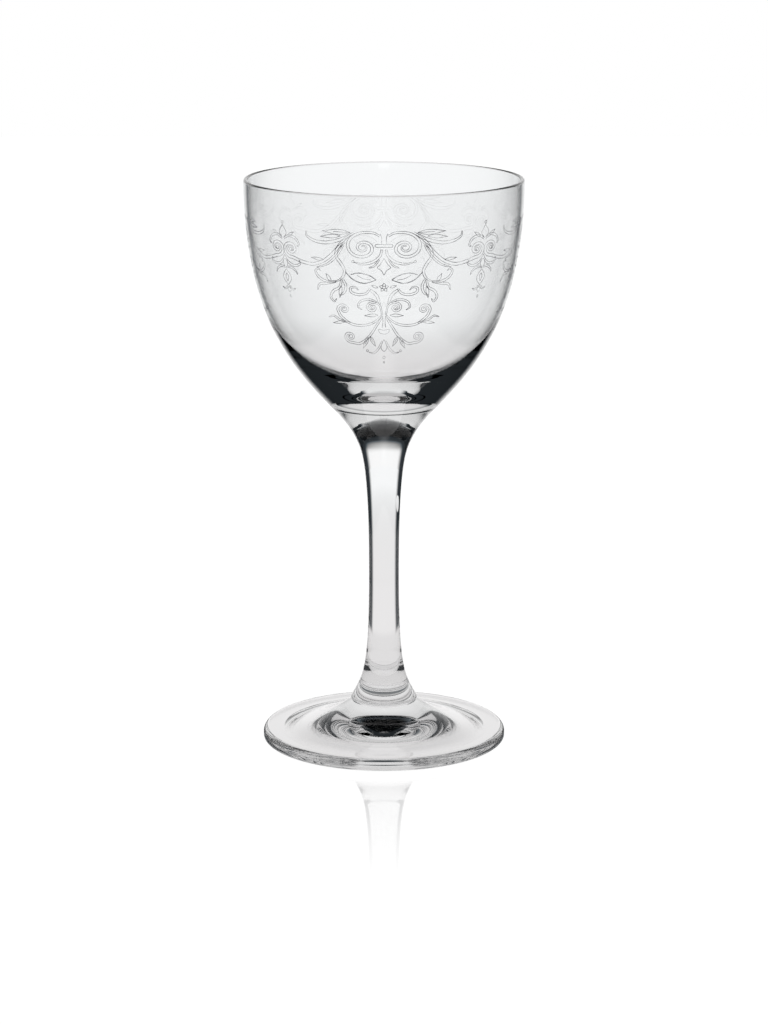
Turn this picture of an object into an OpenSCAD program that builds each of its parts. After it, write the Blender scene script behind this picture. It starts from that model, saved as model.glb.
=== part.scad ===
// Nick and nora glass: a small blown bowl on a drawn stem and a round foot, in clear glass.
// Frame: +Z up along the glass's axis, origin at the centre of the ring that the foot stands on.
// Every piece is a body of revolution. The three gathers of glass meet face to face at two seams.

/* [Bowl] */
// Outer diameter at the rim
rim_d = 75; // [60:0.2:90]
// Height from the stem seam up to the rim
bowl_h = 71.2; // [60:0.5:85]
// Glass thickness at the rim, and the width of its fire-polished round
rim_wall = 1.1; // [0.8:0.1:2]
// Outer diameter where the side stops rounding in and starts to flare down
turn_d = 31.7; // [26:0.1:36]
// Height of that turn above the stem seam
turn_rise = 11; // [9:0.1:14]
// Angle between the side and the axis at the turn, in degrees
turn_lean = 42.6; // [38:0.2:48]
// Reach of the side's curve handle above the turn
turn_reach = 12.4; // [6:0.5:16]
// Reach of the neck's curve handle below the turn
neck_reach = 3.9; // [2:0.1:7]
// Thickness of solid glass under the cavity, from the stem seam up
floor_rise = 13; // [10:0.1:16]

/* [Stem] */
// Height from the foot seam up to the bowl seam
stem_h = 73.4; // [55:0.1:95]
// Diameter at the waist, where the stem is thinnest
waist_d = 8.26; // [6:0.02:11]
// Height of the waist above the foot seam
waist_rise = 37.2; // [28:0.1:42]
// Reach of the neck's curve handle above the waist
waist_reach = 29.6; // [20:0.5:34]
// Diameter of the seam between stem and bowl
bowl_seam_d = 14.8; // [13:0.02:18]
// Angle between the side and the axis at the bowl seam, in degrees
bowl_seam_lean = 24.6; // [20:0.2:32]
// Reach of the neck's curve handle above the bowl seam
seam_reach = 5.6; // [2:0.1:7]
// Reach of the neck's curve handle below the bowl seam
seam_drop = 3; // [2:0.1:7]
// Diameter of the round button that ends the stem on the foot
button_d = 18.1; // [15:0.1:21]
// Radius of the button's round edge
button_round = 1.4; // [1.2:0.1:3]
// Angle between the flare and the axis where it runs into the button, in degrees
button_lean = 30; // [24:0.5:42]

/* [Foot] */
// Outer diameter of the foot
foot_d = 66.7; // [54:0.1:80]
// Height of the foot at the stem seam
foot_h = 10.4; // [8:0.1:13]
// Height of the edge, where its top rounds into the slope
edge_h = 3.1; // [2.4:0.1:4.5]
// Radius of the edge's upper round
edge_round = 1.6; // [0.8:0.1:2]
// Radius of the edge's lower round
sole_round = 0.7; // [0.4:0.1:1]
// Width of the flat ring that the foot stands on
ring_w = 4.6; // [1:0.1:6]
// Height of the hollow under the middle of the foot
hollow_h = 3.2; // [1:0.1:4]
// Slope of the foot's top at the stem seam, in degrees
boss_slope = 35.6; // [25:0.2:50]
// Slope of the foot's top at its edge, in degrees
brim_slope = 2.6; // [1:0.2:10]

/* [Hidden] */
// Facets that a preview draws round the axis
$fn = 96;
// Straight steps along each curve of an outline
curve_steps = 18;
// Straight steps along each small round of an outline
round_steps = 8;

// Handle lengths of the cavity's curve, which follows the bowl's outside: below the rim as a share of
// the side's handle there, and out from the middle of the floor as a share of the turn's radius
cavity_drop_share = 1.28;
floor_reach_share = 1.085;

// Handle lengths of the lower curves, as shares of the straight distance that each curve spans
flare_waist_share = 0.77;
flare_button_share = 0.18;
boss_share = 0.58;
brim_share = 0.24;

// Heights of the seams and of the rim above the surface that the glass stands on
foot_seam_z = foot_h;
bowl_seam_z = foot_seam_z + stem_h;
rim_z = bowl_seam_z + bowl_h;

// Point on a cubic curve from a to d, with handles b and c, at share t of its run
function curve_at(a, b, c, d, t) =
    pow(1 - t, 3) * a + 3 * t * pow(1 - t, 2) * b + 3 * pow(t, 2) * (1 - t) * c + pow(t, 3) * d;

// Outline from a to d that leaves a along out and reaches d along into, without its last point
function curve(a, out, out_len, d, into, into_len) =
    [for (i = [0 : curve_steps - 1])
        curve_at(a, a + out_len * out, d - into_len * into, d, i / curve_steps)];

// Outline of a round: centre c, radius r, from one angle to another, both ends included
function round_at(c, r, from, to) =
    [for (i = [0 : round_steps])
        let (angle = from + (to - from) * i / round_steps)
        c + r * [cos(angle), sin(angle)]];

// Unit direction of an outline that runs down and leans out from the axis by an angle
function down(lean) = [sin(lean), -cos(lean)];

// Points where the outlines of two curves or two pieces meet: [radius, height]
rim_outer = [rim_d / 2, rim_z - rim_wall / 2];
rim_inner = rim_outer - [rim_wall, 0];
bowl_turn = [turn_d / 2, bowl_seam_z + turn_rise];
bowl_seam = [bowl_seam_d / 2, bowl_seam_z];
stem_waist = [waist_d / 2, foot_seam_z + waist_rise];
cavity_floor = [0, bowl_seam_z + floor_rise];

// How far below the rim a line up the slope of the turn meets the rim's own diameter
side_drop = rim_outer[1] - bowl_turn[1] - (rim_outer[0] - bowl_turn[0]) / tan(turn_lean);
cavity_drop = cavity_drop_share * side_drop;
floor_reach = floor_reach_share * turn_d / 2;

// The button's round runs from the flare, out to its diameter and back in to the foot seam
button_centre = [button_d / 2 - button_round, foot_seam_z + button_round * sin(button_lean)];
button_top = button_centre + button_round * [cos(button_lean), sin(button_lean)];
button_seam = button_centre + button_round * [cos(button_lean), -sin(button_lean)];

// The edge's upper round is centred so that it touches the foot's diameter
edge_centre = [foot_d / 2 - edge_round, edge_h - edge_round];
edge_top = edge_centre + edge_round * [sin(brim_slope), cos(brim_slope)];
sole_centre = [foot_d / 2 - sole_round, sole_round];
ring_inner_r = foot_d / 2 - sole_round - ring_w;

// Radius of the ball whose cap is the hollow under the foot, and the half angle of that cap
hollow_ball_r = (pow(ring_inner_r, 2) + pow(hollow_h, 2)) / (2 * hollow_h);
hollow_half_angle = asin(ring_inner_r / hollow_ball_r);

flare_span = norm(stem_waist - button_top);
foot_top_span = norm(edge_top - button_seam);

// Blown bowl with a thin side, a fire-polished rim and a thick solid base
module bowl() {
    rim = round_at((rim_outer + rim_inner) / 2, rim_wall / 2, 180, 0);
    side = curve(rim_outer, down(0), side_drop, bowl_turn, down(-turn_lean), turn_reach);
    neck = curve(bowl_turn, down(-turn_lean), neck_reach,
                 bowl_seam, down(-bowl_seam_lean), seam_reach);
    cavity = curve(cavity_floor, down(90), floor_reach, rim_inner, -down(0), cavity_drop);
    color([0.93, 0.95, 0.95, 0.45])
        rotate_extrude()
            polygon(concat(cavity, rim, side, neck, [bowl_seam, [0, bowl_seam_z]]));
}

// Drawn stem, thinnest at its waist, flared up to the bowl and down to a round button
module stem() {
    upper = curve(bowl_seam, down(-bowl_seam_lean), seam_drop, stem_waist, down(0), waist_reach);
    flare = curve(stem_waist, down(0), flare_waist_share * flare_span,
                  button_top, down(button_lean), flare_button_share * flare_span);
    button = round_at(button_centre, button_round, button_lean, -button_lean);
    color([0.93, 0.95, 0.95, 0.45])
        rotate_extrude()
            polygon(concat([[0, bowl_seam_z]], upper, flare, button, [[0, foot_seam_z]]));
}

// Round foot that slopes down to a rounded edge and stands on a flat ring round a shallow hollow
module foot() {
    top = curve(button_seam, down(90 - boss_slope), boss_share * foot_top_span,
                edge_top, down(90 - brim_slope), brim_share * foot_top_span);
    edge = round_at(edge_centre, edge_round, 90 - brim_slope, 0);
    sole = round_at(sole_centre, sole_round, 0, -90);
    hollow = [for (i = [0 : curve_steps])
        let (angle = hollow_half_angle * (1 - i / curve_steps))
        [hollow_ball_r * sin(angle), hollow_h - hollow_ball_r * (1 - cos(angle))]];
    color([0.93, 0.95, 0.95, 0.45])
        rotate_extrude()
            polygon(concat([[0, foot_seam_z]], top, edge, sole, hollow));
}

bowl();
stem();
foot();
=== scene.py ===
import math

import bpy
import numpy as np
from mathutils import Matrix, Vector


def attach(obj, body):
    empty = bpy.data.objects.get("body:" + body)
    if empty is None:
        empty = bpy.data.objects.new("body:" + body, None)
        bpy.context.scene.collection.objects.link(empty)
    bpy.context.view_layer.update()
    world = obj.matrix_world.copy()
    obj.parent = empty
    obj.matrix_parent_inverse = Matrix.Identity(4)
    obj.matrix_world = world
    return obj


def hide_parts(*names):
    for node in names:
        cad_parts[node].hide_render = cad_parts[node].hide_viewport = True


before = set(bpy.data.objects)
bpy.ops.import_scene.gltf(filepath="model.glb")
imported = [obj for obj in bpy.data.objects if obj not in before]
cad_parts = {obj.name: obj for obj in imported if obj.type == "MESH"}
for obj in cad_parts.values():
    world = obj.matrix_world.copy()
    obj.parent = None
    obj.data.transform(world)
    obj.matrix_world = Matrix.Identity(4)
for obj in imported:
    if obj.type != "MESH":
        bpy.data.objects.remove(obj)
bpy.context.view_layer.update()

# Lengths are in metres, angles in degrees, unless a name says otherwise.

# Glass surfaces: straight pieces round the axis, and the longest piece and sharpest turn of an outline
ROUND_STEPS = 240
PIECE_LENGTH = 0.0007
PIECE_TURN = 4
# Packed points nearer than this are one ring, and a turn below STRAIGHT_TURN is on a straight stretch
SAME_RING = 0.00003
STRAIGHT_TURN = 0.005
# A crease is a sharp turn between two stretches that are both longer than CREASE_SPAN
CREASE_TURN = 8
CREASE_SPAN = 0.001
# Where one stretch is this many times as long as the next, the longer one gives the direction
UNEVEN = 2.5

# Clear glass: its tint, the share of a lamp's light that passes it, and for each node the size and
# the height of the faint waves of its surface
GLASS_IOR = 1.52
GLASS_TINT = (0.997, 0.999, 1.0, 1)
GLASS_SHADE = 0.93
WAVES = dict(bowl=(0.012, 0.000004), stem=(0.010, 0.000002), foot=(0.012, 0.000003))

# Etched scrollwork. Its flat drawing is in millimetres: u to the right, v down from its top line.
MM = 0.001
LINE_WIDTH = 0.15
LINE_STEP = 0.35
LINE_LIFT = 0.00002
# A tendril's width, and the share of its swell at which its root starts
TENDRIL_WIDTH = 0.6
TENDRIL_ROOT = 0.12
# Points along a leaf's edge, and the powers that move its widest place to the root and point its tip
LEAF_STEPS = 14
LEAF_LEAN = 0.8
LEAF_POINT = 1.2
# Points to a turn of a spiral
SPIRAL_STEPS = 14
# Height of the top line on the bowl, and the radius at which the flat drawing is true to size
SCROLL_TOP = 0.146
SCROLL_RADIUS = 0.034
LARGE_PENDANTS = 4
# The lines' colour is painted shade: frosted lines look dark by scattering the dark surroundings.
# Then how dense they are in their faint and strong patches, and how much of that shows through glass
ETCH_SHADE_COLOUR = (0.08, 0.08, 0.09, 1)
ETCH_FAINT = 0.42
ETCH_STRONG = 0.95
ETCH_THROUGH = 0.13
PATCH_SIZE = 0.0025
PATCH_LEVELS = (0.35, 0.65)

# Camera: fitted to the ellipses of the rim and the foot
CAMERA_BACK = 0.8179
CAMERA_HEIGHT = 0.2564
CAMERA_TILT = 13.27
FOCAL_PIXELS = 3074.3
IMAGE_HEIGHT_PIXELS = 1024
SENSOR_MM = 36

# Studio as the glass shows it: a white table that goes over into a white backdrop ahead, with dark
# cards at both sides and a dark ceiling. Azimuths count from straight ahead towards the right, and
# reaches from the glass's axis. Each pair is where a border starts and where it ends:
#   table         half the width of the table's white strip
#   table_ahead   azimuth to each side up to which the table is white all over
#   table_front   how far to the front (negative) the strip is white
#   near          reach of the patch round the glass
#   ahead         azimuth to each side up to which the backdrop is white
#   ceiling       height of the backdrop's upper end, in degrees
# The levels are those of the patch, the table, the table far off, the strip's dim front end, the dark
# cards and the backdrop. The same studio looks dimmer in mirrored light, so there is one set for each
# kind of light: only bent by the glass, mirrored on its outside, mirrored inside it once, and more
# than once.
BENT = dict(table=(0.035, 0.065), table_ahead=(31, 44), table_front=(-0.070, -0.045),
            near=(0.078, 0.093), ahead=(28, 44), ceiling=(7, 30),
            near_level=0.78, level=0.85, far_level=1.03, front_level=0.8, card=0.04, sky_level=1.03)
OUTSIDE = dict(table=(0.0, 0.03), table_ahead=(18, 36), table_front=(-0.20, -0.03),
               near=(0.023, 0.038), ahead=(40, 47), ceiling=(12, 35),
               near_level=0.05, level=1.05, far_level=0.90, front_level=0.05, card=0.0, sky_level=1.10)
INSIDE = dict(table=(0.105, 0.125), table_ahead=(24, 34), table_front=(-0.165, -0.130),
              near=(0.048, 0.063), ahead=(38, 47), ceiling=(13, 42),
              near_level=0.72, level=0.80, far_level=0.45, front_level=0.70, card=0.0, sky_level=0.82)
INSIDE_AGAIN = dict(table=(0.125, 0.150), table_ahead=(15, 25), table_front=(-0.030, 0.048),
                    near=(0.045, 0.060), ahead=(30, 60), ceiling=(20, 55),
                    near_level=0.65, level=0.50, far_level=0.80, front_level=0.03, card=0.02,
                    sky_level=0.78)
# Reaches over which the table's level goes over into its far level
TABLE_FAR = (0.25, 0.60)
# Tones of the table near the glass and far off, and the reaches over which they blend
TABLE_WARM = (1.0, 0.985, 0.988, 1)
TABLE_COOL = (0.985, 0.995, 1.0, 1)
TABLE_TONES = (0.10, 0.5)
# Tone of the dark cards and the ceiling, and the levels over which it goes over into white
CARD_TONE = (0.84, 1.0, 1.13, 1)
DIM_LEVELS = (0.05, 0.30)
WHITE = (1.0, 1.0, 1.0, 1)

# White windows between the dark cards, which keep the glass clear in the side and back views. Only
# bent light shows them. Their azimuths, the softness of their sides and the reaches at which they start:
LEFT_WINDOW = (-105, -75)
FRONT_WINDOW = (115, 155)
BACK_WINDOW = (-58, -31)
WINDOW_SOFT = 3.0
WINDOW_START = (0.08, 0.12)
# Light that was bent more than BOTH_WALLS times went through both walls of the bowl, and shows the
# back window up to its end. Other light shows only an oval of it, behind the bowl's opening: its
# middle, its half sizes and its soft border.
BOTH_WALLS = 2.5
BACK_WINDOW_END = (0.5, 0.8)
OVAL_AZIMUTH = -45
OVAL_REACH = 0.426
OVAL_HALF_AZIMUTH = 9.5
OVAL_HALF_REACH = 0.065
OVAL_BORDER = (0.85, 1.15)

# Table as the camera sees it: its own glow, its colour under the lamps, and a faint, soft mirror that
# starts round the foot and fades away from it
FLOOR_Z = -0.0002
FLOOR_SIZE = 3.0
FLOOR_GLOW = 0.63
FLOOR_COLOUR = (0.42, 0.42, 0.42, 1)
SHEEN_ROUGHNESS = 0.03
SHEEN_IOR = 1.5
SHEEN_GAIN = 2.4
SHEEN_MOST = 0.5
SHEEN_START = (0.039, 0.047)
SHEEN_END = (0.02, 0.13)
# Level of the surroundings that light matt surfaces
MATT_FILL = 0.6


def new_object(name, verts, faces):
    """A mesh object from plain lists of points and faces."""
    mesh = bpy.data.meshes.new(name)
    mesh.from_pydata(verts, [], faces)
    mesh.update()
    piece = bpy.data.objects.new(name, mesh)
    bpy.context.scene.collection.objects.link(piece)
    return piece


def outline_of(node):
    """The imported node's outline, from its higher end on: corner points of (radius, height)."""
    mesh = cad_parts[node].data
    rings, ring_of = [], []
    for vertex in mesh.vertices:
        here = (math.hypot(vertex.co.x, vertex.co.y), vertex.co.z)
        for number, ring in enumerate(rings):
            if math.dist(here, ring) < SAME_RING:
                break
        else:
            number = len(rings)
            rings.append(here)
        ring_of.append(number)
    neighbours = [set() for _ in rings]
    for edge in mesh.edges:
        a, b = (ring_of[v] for v in edge.vertices)
        if a != b:
            neighbours[a].add(b)
            neighbours[b].add(a)
    ends = [number for number, near in enumerate(neighbours) if len(near) == 1]
    at = max(ends, key=lambda number: rings[number][1])
    way, seen = [], set()
    while at is not None:
        way.append(rings[at])
        seen.add(at)
        at = next((n for n in neighbours[at] if n not in seen), None)
    corners = [k for k in range(1, len(way) - 1) if turn_at(way, k) > STRAIGHT_TURN]
    return [way[k] for k in [0] + corners + [len(way) - 1]]


def turn_at(points, k):
    """How far an outline turns at point k, in degrees."""
    (r0, z0), (r1, z1), (r2, z2) = points[k - 1], points[k], points[k + 1]
    along, across = (r1 - r0, z1 - z0), (r2 - r1, z2 - z1)
    cross = along[0] * across[1] - along[1] * across[0]
    return math.degrees(abs(math.atan2(cross, along[0] * across[0] + along[1] * across[1])))


def start_way(points):
    """The direction at the first point of the circle through the first three points."""
    near, middle = np.array(points[0]), np.array(points[1])
    way = middle - near
    if len(points) > 2:
        far = np.array(points[2]) - near
        way = way / way.dot(way) - far / far.dot(far)
    return way / np.linalg.norm(way)


def end_way(points, spans):
    """The direction at an outline's start. A first stretch much longer than the next is straight."""
    straight = len(spans) > 1 and spans[0] > UNEVEN * spans[1]
    return start_way(points[:2] if straight else points[:3])


def smooth_outline(points):
    """Finer outline through the points, with its direction at each point.

    The outline is cut at its creases. An end on the axis runs level there, because the surface goes
    on at the axis's other side.
    """
    points = [np.array(point) for point in points]
    last = len(points) - 1
    lengths = [np.linalg.norm(b - a) for a, b in zip(points, points[1:])]
    creases = [k for k in range(1, last)
               if turn_at(points, k) > CREASE_TURN and min(lengths[k - 1], lengths[k]) > CREASE_SPAN]
    fine, ways = [], []
    for first, end in zip([0] + creases, creases + [last]):
        run, run_ways = smooth_run(points[first:end + 1])
        if fine:
            run_ways[0] = run_ways[0] + ways[-1]
            fine, ways = fine[:-1], ways[:-1]
        fine += run
        ways += run_ways
    return fine, ways


def smooth_run(points):
    """A cubic spline through the points of an outline without creases."""
    last = len(points) - 1
    steps = [b - a for a, b in zip(points, points[1:])]
    spans = [np.linalg.norm(step) for step in steps]
    given = {0: end_way(points, spans), last: -end_way(points[::-1], spans[::-1])}
    for k in (0, last):
        if points[k][0] < SAME_RING:
            given[k] = np.array([math.copysign(1.0, given[k][0]), 0.0])
    uneven = [k for k in range(1, last) if max(spans[k - 1:k + 1]) > UNEVEN * min(spans[k - 1:k + 1])]
    for k in uneven:
        ahead = spans[k] > spans[k - 1]
        stretch = points[k:k + 3] if ahead else points[k::-1][:3]
        beyond = k + 1 if ahead else k - 1
        way = start_way(stretch[:2] if beyond in uneven else stretch)
        given[k] = way if ahead else -way
    weights, sums = np.identity(last + 1), np.zeros((last + 1, 2))
    for k in range(last + 1):
        if k in given:
            sums[k] = given[k]
        else:
            before, after = spans[k - 1], spans[k]
            weights[k, k - 1:k + 2] = after, 2 * (before + after), before
            sums[k] = 3 * (after * steps[k - 1] / before + before * steps[k] / after)
    slopes = np.linalg.solve(weights, sums)
    fine, ways = [], []
    for k in range(last):
        leave, arrive, step = slopes[k] * spans[k], slopes[k + 1] * spans[k], steps[k]
        turn = math.degrees(leave.dot([arrive[1], -arrive[0]]) / spans[k]**2)
        pieces = math.ceil(max(spans[k] / PIECE_LENGTH, abs(turn) / PIECE_TURN))
        for t in np.arange(pieces) / pieces:
            fine.append(points[k] + leave * (t - 2 * t**2 + t**3)
                        + step * (3 * t**2 - 2 * t**3) + arrive * (t**3 - t**2))
            ways.append(leave * (1 - 4 * t + 3 * t**2) + step * (6 * t - 6 * t**2)
                        + arrive * (3 * t**2 - 2 * t))
    return fine + [points[-1]], ways + [slopes[-1] * spans[-1]]


def revolve(name, fine, directions, outward, top_seam=False, bottom_seam=False):
    """A smooth closed surface of revolution. A seam is a disc that closes an end off the axis."""
    verts, normals, rows = [], [], []
    angles = [2 * math.pi * i / ROUND_STEPS for i in range(ROUND_STEPS)]
    for (radius, height), (along_r, along_z) in zip(fine, directions):
        size = math.hypot(along_r, along_z)
        out_r, out_z = outward * along_z / size, -outward * along_r / size
        if radius < SAME_RING:
            rows.append([len(verts)] * ROUND_STEPS)
            verts.append((0.0, 0.0, height))
            normals.append((0.0, 0.0, math.copysign(1.0, out_z)))
            continue
        rows.append(list(range(len(verts), len(verts) + ROUND_STEPS)))
        verts += [(radius * math.cos(a), radius * math.sin(a), height) for a in angles]
        normals += [(out_r * math.cos(a), out_r * math.sin(a), out_z) for a in angles]
    faces = []
    for upper, lower in zip(rows, rows[1:]):
        for i in range(ROUND_STEPS):
            j = (i + 1) % ROUND_STEPS
            corners = [upper[i], lower[i], lower[j], upper[j]]
            faces.append(list(dict.fromkeys(corners)))
    if outward > 0:
        faces = [face[::-1] for face in faces]
    wall_faces = len(faces)
    for wanted, row, up in ((top_seam, rows[0], 1.0), (bottom_seam, rows[-1], -1.0)):
        if wanted:
            centre = len(verts)
            verts.append((0.0, 0.0, verts[row[0]][2]))
            normals.append((0.0, 0.0, up))
            for i in range(ROUND_STEPS):
                j = (i + 1) % ROUND_STEPS
                faces.append([centre, row[i], row[j]] if up > 0 else [centre, row[j], row[i]])
    piece = new_object(name, verts, faces)
    piece.data.shade_smooth()
    piece.data.normals_split_custom_set_from_vertices(normals)
    for face in piece.data.polygons[wall_faces:]:
        face.material_index = 1
    return piece


def add_node(tree, kind, **sockets):
    """A shader node with plain values or links on the named sockets."""
    node = tree.nodes.new(kind)
    for name, value in sockets.items():
        set_socket(tree, node.inputs[name.replace("_", " ")], value)
    return node


def set_socket(tree, socket, value):
    """Links an output to the socket, or sets the socket's own value."""
    if isinstance(value, bpy.types.NodeSocket):
        tree.links.new(value, socket)
    else:
        socket.default_value = value


def maths(tree, operation, *values):
    """The output of a Math node."""
    node = tree.nodes.new("ShaderNodeMath")
    node.operation = operation
    for socket, value in zip(node.inputs, values):
        set_socket(tree, socket, value)
    return node.outputs[0]


def rise(tree, value, low, high):
    """0 below low, 1 above high, smooth between."""
    node = tree.nodes.new("ShaderNodeMapRange")
    node.interpolation_type = "SMOOTHSTEP"
    for socket, number in zip(node.inputs, (value, low, high, 0.0, 1.0)):
        set_socket(tree, socket, number)
    return node.outputs[0]


def falls(tree, value, low, high):
    """1 below low, 0 above high, smooth between."""
    return maths(tree, "SUBTRACT", 1.0, rise(tree, value, low, high))


def within(tree, value, low, high, soft):
    """1 between low and high, 0 outside, with soft borders."""
    up = rise(tree, value, low - soft / 2, low + soft / 2)
    down = rise(tree, value, high - soft / 2, high + soft / 2)
    return maths(tree, "SUBTRACT", up, down)


def largest(tree, *values):
    """The largest of several outputs."""
    result = values[0]
    for value in values[1:]:
        result = maths(tree, "MAXIMUM", result, value)
    return result


def mix(tree, share, first, second):
    """first where share is 0, second where it is 1, for plain numbers."""
    node = tree.nodes.new("ShaderNodeMix")
    for socket, value in zip((node.inputs[0], node.inputs[2], node.inputs[3]), (share, first, second)):
        set_socket(tree, socket, value)
    return node.outputs[0]


def mix_colour(tree, share, first, second):
    """first where share is 0, second where it is 1, for colours."""
    node = tree.nodes.new("ShaderNodeMix")
    node.data_type = "RGBA"
    for socket, value in zip((node.inputs[0], node.inputs[6], node.inputs[7]), (share, first, second)):
        set_socket(tree, socket, value)
    return node.outputs[2]


def new_tree(owner):
    """Turns on nodes for a material or a world, and empties its tree."""
    owner.use_nodes = True
    owner.node_tree.nodes.clear()
    return owner.node_tree


def lets_lamps_through(tree, solid, shade):
    """The shader for sight, and a clear one of the given shade for rays to and from lamps."""
    light_path = tree.nodes.new("ShaderNodeLightPath")
    clear = add_node(tree, "ShaderNodeBsdfTransparent", Color=(shade, shade, shade, 1))
    lamp_ray = largest(tree, light_path.outputs["Is Shadow Ray"], light_path.outputs["Is Diffuse Ray"])
    join = tree.nodes.new("ShaderNodeMixShader")
    tree.links.new(lamp_ray, join.inputs[0])
    tree.links.new(solid.outputs[0], join.inputs[1])
    tree.links.new(clear.outputs[0], join.inputs[2])
    return join


def glass_material(name, wave_size, wave_height):
    """Clear glass that is not quite even, as blown and drawn glass is."""
    material = bpy.data.materials.new(name)
    tree = new_tree(material)
    place = tree.nodes.new("ShaderNodeTexCoord").outputs["Object"]
    waves = add_node(tree, "ShaderNodeTexNoise", Vector=place, Scale=1 / wave_size, Detail=1.0)
    bump = add_node(tree, "ShaderNodeBump", Height=waves.outputs["Fac"], Distance=wave_height,
                    Strength=1.0)
    glass = add_node(tree, "ShaderNodeBsdfPrincipled", Base_Color=GLASS_TINT, Roughness=0.0,
                     IOR=GLASS_IOR, Normal=bump.outputs["Normal"])
    glass.inputs["Transmission Weight"].default_value = 1.0
    join = lets_lamps_through(tree, glass, GLASS_SHADE)
    out = tree.nodes.new("ShaderNodeOutputMaterial")
    tree.links.new(join.outputs[0], out.inputs[0])
    return material


def seam_material():
    """The seam inside fused glass, where nothing shows."""
    material = bpy.data.materials.new("fused_seam")
    tree = new_tree(material)
    clear = add_node(tree, "ShaderNodeBsdfTransparent", Color=WHITE)
    out = tree.nodes.new("ShaderNodeOutputMaterial")
    tree.links.new(clear.outputs[0], out.inputs[0])
    return material


def dress(piece, node, seam):
    """Puts a piece of clear glass in the place of a CAD node, with the node's record slot."""
    piece.data.materials.append(glass_material(node + "_clear", *WAVES[node]))
    piece.data.materials.append(seam)
    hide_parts(node)
    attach(piece, "root")


def make_glass():
    """The three gathers of glass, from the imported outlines. Bowl and stem share one smooth outline."""
    bowl_points, stem_points, foot_points = (outline_of(n) for n in ("bowl", "stem", "foot"))
    upper, upper_ways = smooth_outline(bowl_points + stem_points[1:])
    cut = min(range(len(upper)), key=lambda k: math.dist(upper[k], bowl_points[-1]))
    fused = seam_material()
    bowl = revolve("bowl_wall", upper[:cut + 1], upper_ways[:cut + 1], -1, bottom_seam=True)
    stem = revolve("stem_wall", upper[cut:], upper_ways[cut:], -1, top_seam=True, bottom_seam=True)
    foot = revolve("foot_wall", *smooth_outline(foot_points), -1, top_seam=True)
    for piece, node in ((bowl, "bowl"), (stem, "stem"), (foot, "foot")):
        dress(piece, node, fused)
    return upper[:cut + 1]


def smooth_line(points):
    """Evenly spaced points on a smooth line through a few drawn points."""
    points = np.array(points, dtype=float)
    padded = np.vstack([2 * points[0] - points[1], points, 2 * points[-1] - points[-2]])
    line = []
    for a, b, c, d in zip(padded, padded[1:], padded[2:], padded[3:]):
        pieces = max(2, math.ceil(np.linalg.norm(c - b) / LINE_STEP))
        for t in np.arange(pieces) / pieces:
            line.append(b + (c - a) * t / 2 + (a - 2.5 * b + 2 * c - d / 2) * t**2
                        + (1.5 * (b - c) + (d - a) / 2) * t**3)
    return np.array(line + [points[-1]])


def beside(line, offsets):
    """The line moved sideways by an offset at each of its points."""
    along = np.gradient(line, axis=0)
    along /= np.linalg.norm(along, axis=1)[:, None]
    return line + np.column_stack([-along[:, 1], along[:, 0]]) * np.asarray(offsets)[:, None]


def tendril(points, width=TENDRIL_WIDTH):
    """Both edges of a scroll or tendril that swells from its root and closes at its tip."""
    line = smooth_line(points)
    share = np.linspace(TENDRIL_ROOT, 1, len(line))
    half = width / 2 * np.sqrt(np.maximum(np.sin(np.pi * share), 0))
    return [beside(line, half), beside(line, -half)]


def leaf(root, tip, width, vein=0.6):
    """A pointed leaf: two bowed edges, and a vein for a share of its length."""
    root, tip = np.array(root, dtype=float), np.array(tip, dtype=float)
    share = np.linspace(0, 1, LEAF_STEPS)
    middle = root + (tip - root) * share[:, None]
    half = width / 2 * np.sin(np.pi * share**LEAF_LEAN) ** LEAF_POINT
    edges = [beside(middle, half), beside(middle, -half)]
    return edges + ([smooth_line([root, root + (tip - root) * vein])] if vein else [])


def spiral(centre, outer, inner, start, turns, squash=0.85):
    """Points of a volute from its outer turn in. The start angle counts from +u towards +v."""
    count = math.ceil(abs(turns) * SPIRAL_STEPS)
    share = np.arange(count + 1) / count
    radius = outer * (inner / outer) ** share
    angle = math.radians(start) + 2 * math.pi * turns * share
    return [(centre[0] + r * math.cos(a), centre[1] + squash * r * math.sin(a))
            for r, a in zip(radius, angle)]


def bead(centre, radius):
    """A small ring."""
    return [np.array(spiral(centre, radius, radius, 0, 1, squash=1))]


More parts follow.
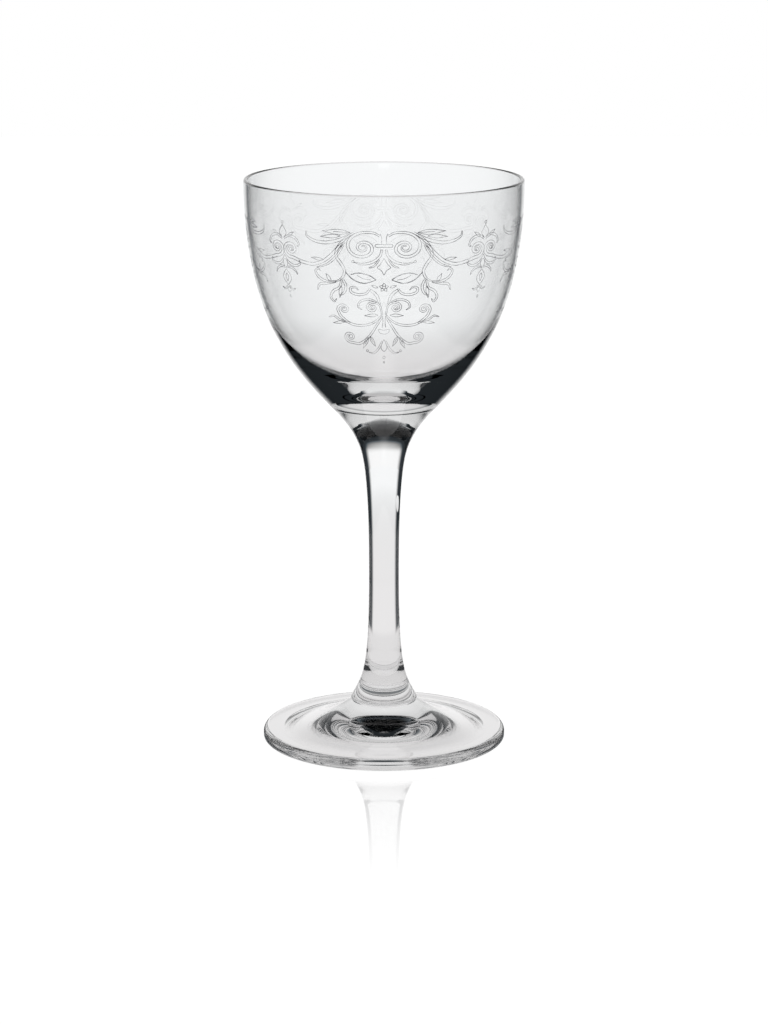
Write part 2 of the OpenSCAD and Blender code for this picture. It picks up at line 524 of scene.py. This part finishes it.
def large_pendant_half():
    """The half of a large pendant at +u, with the swag that runs from it to the small pendant."""
    lines = [smooth_line([(0.9, 0.6), (0.55, 1.9), (0.6, 3.3)])]
    # Clasp bars
    lines += [smooth_line([(0, 3.5), (1.9, 3.5), (1.9, 4.2), (0, 4.2)])]
    # Large volute, the leaves on it and the swag that starts from it
    lines += tendril([(1.0, 1.3), (2.6, 0.5)] + spiral((5.0, 4.4), 4.6, 0.55, -88, 2.1), 0.7)
    lines += tendril([(7.6, 0.8), (10.4, 2.4), (14.0, 3.4), (17.2, 3.1), (19.2, 2.0),
                      (19.4, 0.7)], 0.8)
    lines += leaf((8.0, 0.5), (15.0, 0.4), 1.3)
    lines += leaf((10.4, 1.5), (15.6, 1.9), 0.9, 0)
    lines += tendril([(7.0, 0.5), (9.6, 2.5), (11.9, 5.5), (14.6, 8.0), (17.8, 9.3), (21.0, 9.0)]
                     + spiral((24.3, 5.9), 2.7, 0.4, 100, -2.0), 0.8)
    lines += tendril([(9.7, 3.8), (11.4, 6.6), (14.0, 9.0), (17.0, 10.1)], 0.5)
    lines += leaf((15.0, 8.0), (18.4, 7.6), 0.7, 0)
    # Side branch with its sprays
    lines += tendril([(9.4, 3.0), (11.2, 4.8), (11.6, 6.9), (10.4, 8.9), (9.7, 10.8), (10.5, 12.6),
                      (12.3, 13.7)], 0.7)
    lines += tendril([(12.0, 13.6), (14.6, 13.7), (16.7, 12.6), (17.4, 11.1), (16.6, 10.4),
                      (16.0, 11.0)])
    lines += tendril([(12.2, 13.7), (14.6, 14.2), (16.6, 14.6), (17.4, 16.2)])
    lines += tendril([(10.6, 12.8), (11.2, 15.0), (13.0, 16.2), (13.8, 17.8), (13.0, 19.0),
                      (12.3, 18.2)])
    lines += tendril([(10.4, 12.6), (9.6, 14.6), (10.1, 16.4), (11.3, 17.3)])
    lines += leaf((10.8, 14.6), (11.4, 18.0), 0.8, 0)
    lines += leaf((13.4, 13.7), (14.6, 11.6), 0.8, 0)
    # Strokes and lozenge under the clasp
    lines += tendril([(0.5, 4.8), (1.0, 6.6), (2.7, 8.1), (5.1, 8.7), (7.2, 8.3)])
    lines += bead((7.5, 8.1), 0.3)
    lines += tendril([(1.1, 7.4), (2.3, 9.1), (3.7, 9.7)], 0.4)
    lines += [smooth_line([(0, 7.1), (0.8, 8.6), (1.6, 9.6), (0.7, 10.3), (0, 11.6)])]
    # Leaf pair
    lines += tendril([(9.5, 10.9), (7.6, 12.9), (4.9, 13.8), (1.9, 12.9)], 0.15)
    lines += tendril([(1.9, 12.9), (3.6, 11.7), (6.2, 11.1), (8.2, 11.6)], 0.15)
    lines += [smooth_line([(6.6, 11.7), (5.0, 12.6), (3.2, 12.9)])]
    # Flower
    for turn in (-90, -18, 54):
        a = math.radians(turn)
        lines += leaf((0.3 * math.cos(a), 14.9 + 0.3 * math.sin(a)),
                      (1.2 * math.cos(a), 14.9 + 1.2 * math.sin(a)), 0.7, 0)
    lines += leaf((1.5, 14.9), (3.1, 14.4), 0.6, 0)
    # Second pair of volutes with their hoods and leaf curls
    lines += tendril([(3.6, 15.4), (1.9, 17.0), (1.0, 19.6)], 0.7)
    lines += tendril([(3.5, 15.3), (4.5, 16.5), (6.4, 16.9), (8.2, 16.3), (8.4, 15.2), (7.2, 14.9),
                      (6.4, 15.7)])
    lines += tendril([(0.5, 22.4), (0.8, 20.6)] + spiral((3.0, 20.4), 2.0, 0.3, -150, 1.8), 0.5)
    lines += tendril([(1.7, 18.9), (3.9, 18.1), (6.1, 18.8), (6.7, 20.3), (5.7, 21.0)], 0.5)
    lines += leaf((1.6, 22.4), (5.2, 22.6), 0.8, 0)
    # Outer scroll
    lines += tendril([(0.5, 22.5), (2.7, 24.4), (5.6, 25.3), (8.9, 25.0), (11.4, 23.2)]
                     + spiral((10.6, 21.0), 1.9, 0.4, 40, -1.5), 0.6)
    lines += tendril([(9.2, 24.8), (12.0, 24.0), (13.6, 23.0), (15.2, 23.4)], 0.5)
    lines += leaf((10.6, 24.4), (14.2, 25.0), 0.7, 0)
    # Lower scroll and its leaves
    lines += tendril([(0.4, 22.8), (2.2, 25.6), (4.2, 28.4), (6.9, 30.4)]
                     + spiral((9.6, 28.6), 2.0, 0.4, 105, -1.5), 0.6)
    lines += leaf((4.4, 28.6), (6.2, 31.8), 0.9)
    lines += leaf((4.0, 28.3), (2.5, 31.2), 0.9)
    lines += [smooth_line([(0.35, 22.8), (0.3, 24.4), (0.5, 25.9)])]
    lines += [smooth_line([(0, 26.6), (1.5, 26.4), (1.1, 27.4), (0, 27.7)])]
    # Trefoil and beads at the bottom
    lines += [smooth_line([(0, 29.2), (0.7, 30.6), (0.8, 31.9), (0, 32.7)])]
    lines += tendril([(0.4, 29.6), (1.6, 31.8), (3.1, 33.1), (4.6, 32.9)], 0.5)
    lines += bead((5.0, 32.5), 0.3)
    lines += [smooth_line([(0, 33.9), (0.45, 34.4), (0, 34.9)])]
    lines += [smooth_line([(0, 35.5), (0.25, 35.8), (0, 36.1)])]
    return lines


def small_pendant_half():
    """The half of a small pendant at +u. Its volutes are the ends of the swags."""
    # Finial with a pointed bud
    lines = [smooth_line([(0, -1.3), (0.4, -0.9), (0, -0.4)])]
    lines += [smooth_line([(0, -0.2), (0.8, 0.9), (1.2, 1.9), (0.4, 3.0)])]
    lines += tendril([(0.3, 3.3), (2.0, 2.5), (4.0, 3.0), (5.0, 4.6), (4.3, 5.1)])
    lines += leaf((1.6, 2.6), (3.6, 1.4), 0.7, 0)
    # Drop: arms, bud, second arms, bud and beads
    lines += tendril([(0.3, 8.6), (1.6, 9.9), (3.4, 10.3), (4.9, 9.6), (4.6, 8.7)])
    lines += [smooth_line([(0, 7.6), (0.7, 8.8), (0.7, 10.2), (0, 11.3)])]
    lines += tendril([(0.3, 11.0), (1.8, 10.9), (3.2, 11.7), (3.7, 12.7)], 0.5)
    lines += [smooth_line([(0, 11.5), (1.1, 12.8), (1.3, 14.2), (0, 15.8)])]
    lines += leaf((0, 12.6), (0, 14.8), 0.9, 0)[:1]
    lines += tendril([(0.3, 15.9), (1.3, 16.9), (2.4, 16.5)], 0.4)
    lines += [smooth_line([(0, 16.2), (0.6, 17.0), (0, 17.8)])]
    lines += [smooth_line([(0, 18.4), (0.3, 18.8), (0, 19.2)])]
    return lines


def make_scrollwork(bowl_outline):
    """Fine etched lines round the outside of the bowl: pendants joined by swags."""
    outline = np.array(bowl_outline)
    side = outline[outline[:, 1].argmax():][::-1]
    spacing = 2 * math.pi / LARGE_PENDANTS
    drawings = [(large_pendant_half(), 0.0), (small_pendant_half(), spacing / 2)]
    verts, faces = [], []
    for drawing, shift in drawings:
        for line in drawing:
            for number in range(LARGE_PENDANTS):
                for mirror in (1, -1):
                    first = len(verts)
                    for edge in (-LINE_WIDTH / 2, LINE_WIDTH / 2):
                        for u, v in beside(line, np.full(len(line), edge)):
                            height = SCROLL_TOP - v * MM
                            radius = np.interp(height, side[:, 1], side[:, 0]) + LINE_LIFT
                            angle = number * spacing + shift + mirror * u * MM / SCROLL_RADIUS
                            verts.append((radius * math.sin(angle), -radius * math.cos(angle), height))
                    n = len(line)
                    for i in range(first, first + n - 1):
                        face = (i, i + 1, i + 1 + n, i + n)
                        faces.append(face if mirror > 0 else face[::-1])
    scrollwork = new_object("scrollwork", verts, faces)
    scrollwork.data.materials.append(etched_material())
    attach(scrollwork, "root")


def etched_material():
    """Lines etched into glass: a greyish matt of painted shade that comes and goes a little along the
    line.
    """
    material = bpy.data.materials.new("etched_line_painted_shade")
    tree = new_tree(material)
    place = tree.nodes.new("ShaderNodeTexCoord").outputs["Object"]
    patches = add_node(tree, "ShaderNodeTexNoise", Vector=place, Scale=1 / PATCH_SIZE, Detail=2.0)
    depth = mix(tree, rise(tree, patches.outputs["Fac"], *PATCH_LEVELS), ETCH_FAINT, ETCH_STRONG)
    light_path = tree.nodes.new("ShaderNodeLightPath")
    shown = mix(tree, light_path.outputs["Is Transmission Ray"], 1.0, ETCH_THROUGH)
    depth = maths(tree, "MULTIPLY", depth, shown)
    clear = add_node(tree, "ShaderNodeBsdfTransparent", Color=WHITE)
    # The matt's dark colour is painted shade, the look of frosted lines against dark surroundings
    matt = add_node(tree, "ShaderNodeBsdfDiffuse", Color=ETCH_SHADE_COLOUR)
    join = add_node(tree, "ShaderNodeMixShader", Fac=depth)
    tree.links.new(clear.outputs[0], join.inputs[1])
    tree.links.new(matt.outputs[0], join.inputs[2])
    out = tree.nodes.new("ShaderNodeOutputMaterial")
    tree.links.new(join.outputs[0], out.inputs[0])
    return material


def by_kind(tree, light_path, level, windows, *place):
    """What the glass shows at a place of the studio, from its level and windows, by kind of light."""
    mirrored = maths(tree, "GREATER_THAN", light_path.outputs["Glossy Depth"], 0.5)
    again = maths(tree, "GREATER_THAN", light_path.outputs["Glossy Depth"], 1.5)
    went_in = maths(tree, "GREATER_THAN", light_path.outputs["Transmission Depth"], 0.5)
    inside = mix(tree, again, level(tree, INSIDE, *place), level(tree, INSIDE_AGAIN, *place))
    both_walls = maths(tree, "GREATER_THAN", light_path.outputs["Transmission Depth"], BOTH_WALLS)
    bent = largest(tree, level(tree, BENT, *place), windows(tree, both_walls, *place))
    return mix(tree, mirrored, bent, mix(tree, went_in, level(tree, OUTSIDE, *place), inside))


def table_level(tree, kind, x, y, reach, azimuth):
    """How bright the table looks: white, dim in front of the glass, with dark cards beside it."""
    strip = falls(tree, maths(tree, "ABSOLUTE", x), *kind["table"])
    behind = rise(tree, y, *kind["table_front"])
    near = falls(tree, reach, *kind["near"])
    ahead = falls(tree, maths(tree, "ABSOLUTE", azimuth), *kind["table_ahead"])
    white = largest(tree, near, ahead, maths(tree, "MULTIPLY", strip, behind))
    front = maths(tree, "MULTIPLY", strip, maths(tree, "SUBTRACT", 1.0, behind))
    base = mix(tree, front, kind["card"], kind["front_level"])
    return mix(tree, white, base, mix(tree, near, white_level(tree, kind, reach), kind["near_level"]))


def white_level(tree, kind, reach):
    """How bright the white of the table looks."""
    return mix(tree, rise(tree, reach, *TABLE_FAR), kind["level"], kind["far_level"])


def table_windows(tree, both_walls, x, y, reach, azimuth):
    """How bright the windows look on the table."""
    left = within(tree, azimuth, *LEFT_WINDOW, WINDOW_SOFT)
    front = within(tree, azimuth, *FRONT_WINDOW, WINDOW_SOFT)
    back = maths(tree, "MULTIPLY", within(tree, azimuth, *BACK_WINDOW, WINDOW_SOFT),
                 falls(tree, reach, *BACK_WINDOW_END))
    back = mix(tree, both_walls, oval(tree, reach, azimuth), back)
    white = maths(tree, "MULTIPLY", largest(tree, left, front, back), rise(tree, reach, *WINDOW_START))
    return maths(tree, "MULTIPLY", white, white_level(tree, BENT, reach))


def oval(tree, reach, azimuth):
    """1 in the oval behind the bowl's opening, 0 outside it."""
    across = maths(tree, "DIVIDE", maths(tree, "SUBTRACT", azimuth, OVAL_AZIMUTH), OVAL_HALF_AZIMUTH)
    along = maths(tree, "DIVIDE", maths(tree, "SUBTRACT", reach, OVAL_REACH), OVAL_HALF_REACH)
    across_squared = maths(tree, "MULTIPLY", across, across)
    along_squared = maths(tree, "MULTIPLY", along, along)
    return falls(tree, maths(tree, "ADD", across_squared, along_squared), *OVAL_BORDER)


def sky_level(tree, kind, height, azimuth):
    """How bright the surroundings above the table look: a white backdrop under a dark ceiling."""
    ahead = falls(tree, maths(tree, "ABSOLUTE", azimuth), *kind["ahead"])
    white = maths(tree, "MULTIPLY", ahead, falls(tree, height, *kind["ceiling"]))
    return mix(tree, white, kind["card"], kind["sky_level"])


def sky_windows(tree, both_walls, height, azimuth):
    """How bright the windows look above the table. All light shows the same there."""
    left = within(tree, azimuth, *LEFT_WINDOW, WINDOW_SOFT)
    front = within(tree, azimuth, *FRONT_WINDOW, WINDOW_SOFT)
    level = maths(tree, "MULTIPLY", falls(tree, height, *BENT["ceiling"]), BENT["sky_level"])
    return maths(tree, "MULTIPLY", largest(tree, left, front), level)


def make_floor():
    """A pale table that glows faintly, keeps a soft shadow and mirrors a little."""
    half = FLOOR_SIZE / 2
    corners = [(x, y, FLOOR_Z) for x, y in ((-half, -half), (half, -half), (half, half), (-half, half))]
    floor = new_object("floor", corners, [(0, 1, 2, 3)])
    material = bpy.data.materials.new("pale_floor")
    tree = new_tree(material)
    light_path = tree.nodes.new("ShaderNodeLightPath")
    place = tree.nodes.new("ShaderNodeTexCoord").outputs["Object"]
    x, y, _ = add_node(tree, "ShaderNodeSeparateXYZ", Vector=place).outputs
    squares = maths(tree, "ADD", maths(tree, "MULTIPLY", x, x), maths(tree, "MULTIPLY", y, y))
    reach = maths(tree, "SQRT", squares)
    azimuth = maths(tree, "DEGREES", maths(tree, "ARCTAN2", x, y))
    seen = by_kind(tree, light_path, table_level, table_windows, x, y, reach, azimuth)
    glow = add_node(tree, "ShaderNodeEmission", Strength=FLOOR_GLOW)
    pale = add_node(tree, "ShaderNodeBsdfDiffuse", Color=FLOOR_COLOUR)
    lit = tree.nodes.new("ShaderNodeAddShader")
    tree.links.new(glow.outputs[0], lit.inputs[0])
    tree.links.new(pale.outputs[0], lit.inputs[1])
    sheen = add_node(tree, "ShaderNodeBsdfGlossy", Color=WHITE, Roughness=SHEEN_ROUGHNESS)
    fading = maths(tree, "MULTIPLY", rise(tree, reach, *SHEEN_START), falls(tree, reach, *SHEEN_END))
    slant = add_node(tree, "ShaderNodeFresnel", IOR=SHEEN_IOR).outputs[0]
    strength = maths(tree, "MINIMUM", maths(tree, "MULTIPLY", slant, SHEEN_GAIN), SHEEN_MOST)
    mirror = maths(tree, "MULTIPLY", fading, strength)
    table = add_node(tree, "ShaderNodeMixShader", Fac=mirror)
    tree.links.new(lit.outputs[0], table.inputs[1])
    tree.links.new(sheen.outputs[0], table.inputs[2])
    white = mix_colour(tree, rise(tree, reach, *TABLE_TONES), TABLE_WARM, TABLE_COOL)
    tone = mix_colour(tree, rise(tree, seen, *DIM_LEVELS), CARD_TONE, white)
    in_glass = add_node(tree, "ShaderNodeEmission", Color=tone, Strength=seen)
    by_ray = tree.nodes.new("ShaderNodeMixShader")
    glass_ray = largest(tree, light_path.outputs["Is Glossy Ray"],
                        light_path.outputs["Is Transmission Ray"])
    tree.links.new(glass_ray, by_ray.inputs[0])
    tree.links.new(table.outputs[0], by_ray.inputs[1])
    tree.links.new(in_glass.outputs[0], by_ray.inputs[2])
    out = tree.nodes.new("ShaderNodeOutputMaterial")
    tree.links.new(by_ray.outputs[0], out.inputs[0])
    floor.data.materials.append(material)


def make_world():
    """White to the eye, plain for lighting, and dark cards and a ceiling for the glass to bend.

    The table's sheen is a little rough, so its rays are not singular and meet plain white.
    """
    world = bpy.data.worlds.new("studio")
    bpy.context.scene.world = world
    tree = new_tree(world)
    light_path = tree.nodes.new("ShaderNodeLightPath")
    way = tree.nodes.new("ShaderNodeTexCoord").outputs["Generated"]
    x, y, z = add_node(tree, "ShaderNodeSeparateXYZ", Vector=way).outputs
    azimuth = maths(tree, "DEGREES", maths(tree, "ARCTAN2", x, y))
    height = maths(tree, "DEGREES", maths(tree, "ARCSINE", z))
    seen = by_kind(tree, light_path, sky_level, sky_windows, height, azimuth)
    fill = mix(tree, light_path.outputs["Is Diffuse Ray"], 1.0, MATT_FILL)
    glass_ray = largest(tree, light_path.outputs["Is Singular Ray"],
                        light_path.outputs["Is Transmission Ray"])
    strength = mix(tree, glass_ray, fill, seen)
    tone = mix_colour(tree, rise(tree, strength, *DIM_LEVELS), CARD_TONE, WHITE)
    sky = add_node(tree, "ShaderNodeBackground", Color=tone, Strength=strength)
    out = tree.nodes.new("ShaderNodeOutputWorld")
    tree.links.new(sky.outputs[0], out.inputs[0])


def make_lamp(name, strength, spread, tilt, turn):
    """A soft sun. The glass doesn't show the lamp itself."""
    data = bpy.data.lights.new(name, "SUN")
    data.energy = strength
    data.angle = math.radians(spread)
    lamp = bpy.data.objects.new(name, data)
    lamp.rotation_euler = (math.radians(tilt), 0, math.radians(turn))
    lamp.visible_glossy = False
    lamp.visible_transmission = False
    bpy.context.scene.collection.objects.link(lamp)


def make_camera():
    """The photograph's viewpoint and field."""
    data = bpy.data.cameras.new("camera")
    data.sensor_width = SENSOR_MM
    data.lens = SENSOR_MM * FOCAL_PIXELS / IMAGE_HEIGHT_PIXELS
    camera = bpy.data.objects.new("camera", data)
    camera.location = (0, -CAMERA_BACK, CAMERA_HEIGHT)
    camera.rotation_euler = (math.radians(90 - CAMERA_TILT), 0, 0)
    bpy.context.scene.collection.objects.link(camera)
    bpy.context.scene.camera = camera


make_camera()
make_scrollwork(make_glass())
make_floor()
make_world()
make_lamp("key", strength=0.9, spread=50, tilt=35, turn=-30)
make_lamp("fill", strength=0.5, spread=70, tilt=40, turn=60)

scene = bpy.context.scene
scene.view_settings.view_transform = "Standard"
scene.cycles.max_bounces = 24
scene.cycles.transmission_bounces = 24
scene.cycles.glossy_bounces = 16
scene.cycles.transparent_max_bounces = 24
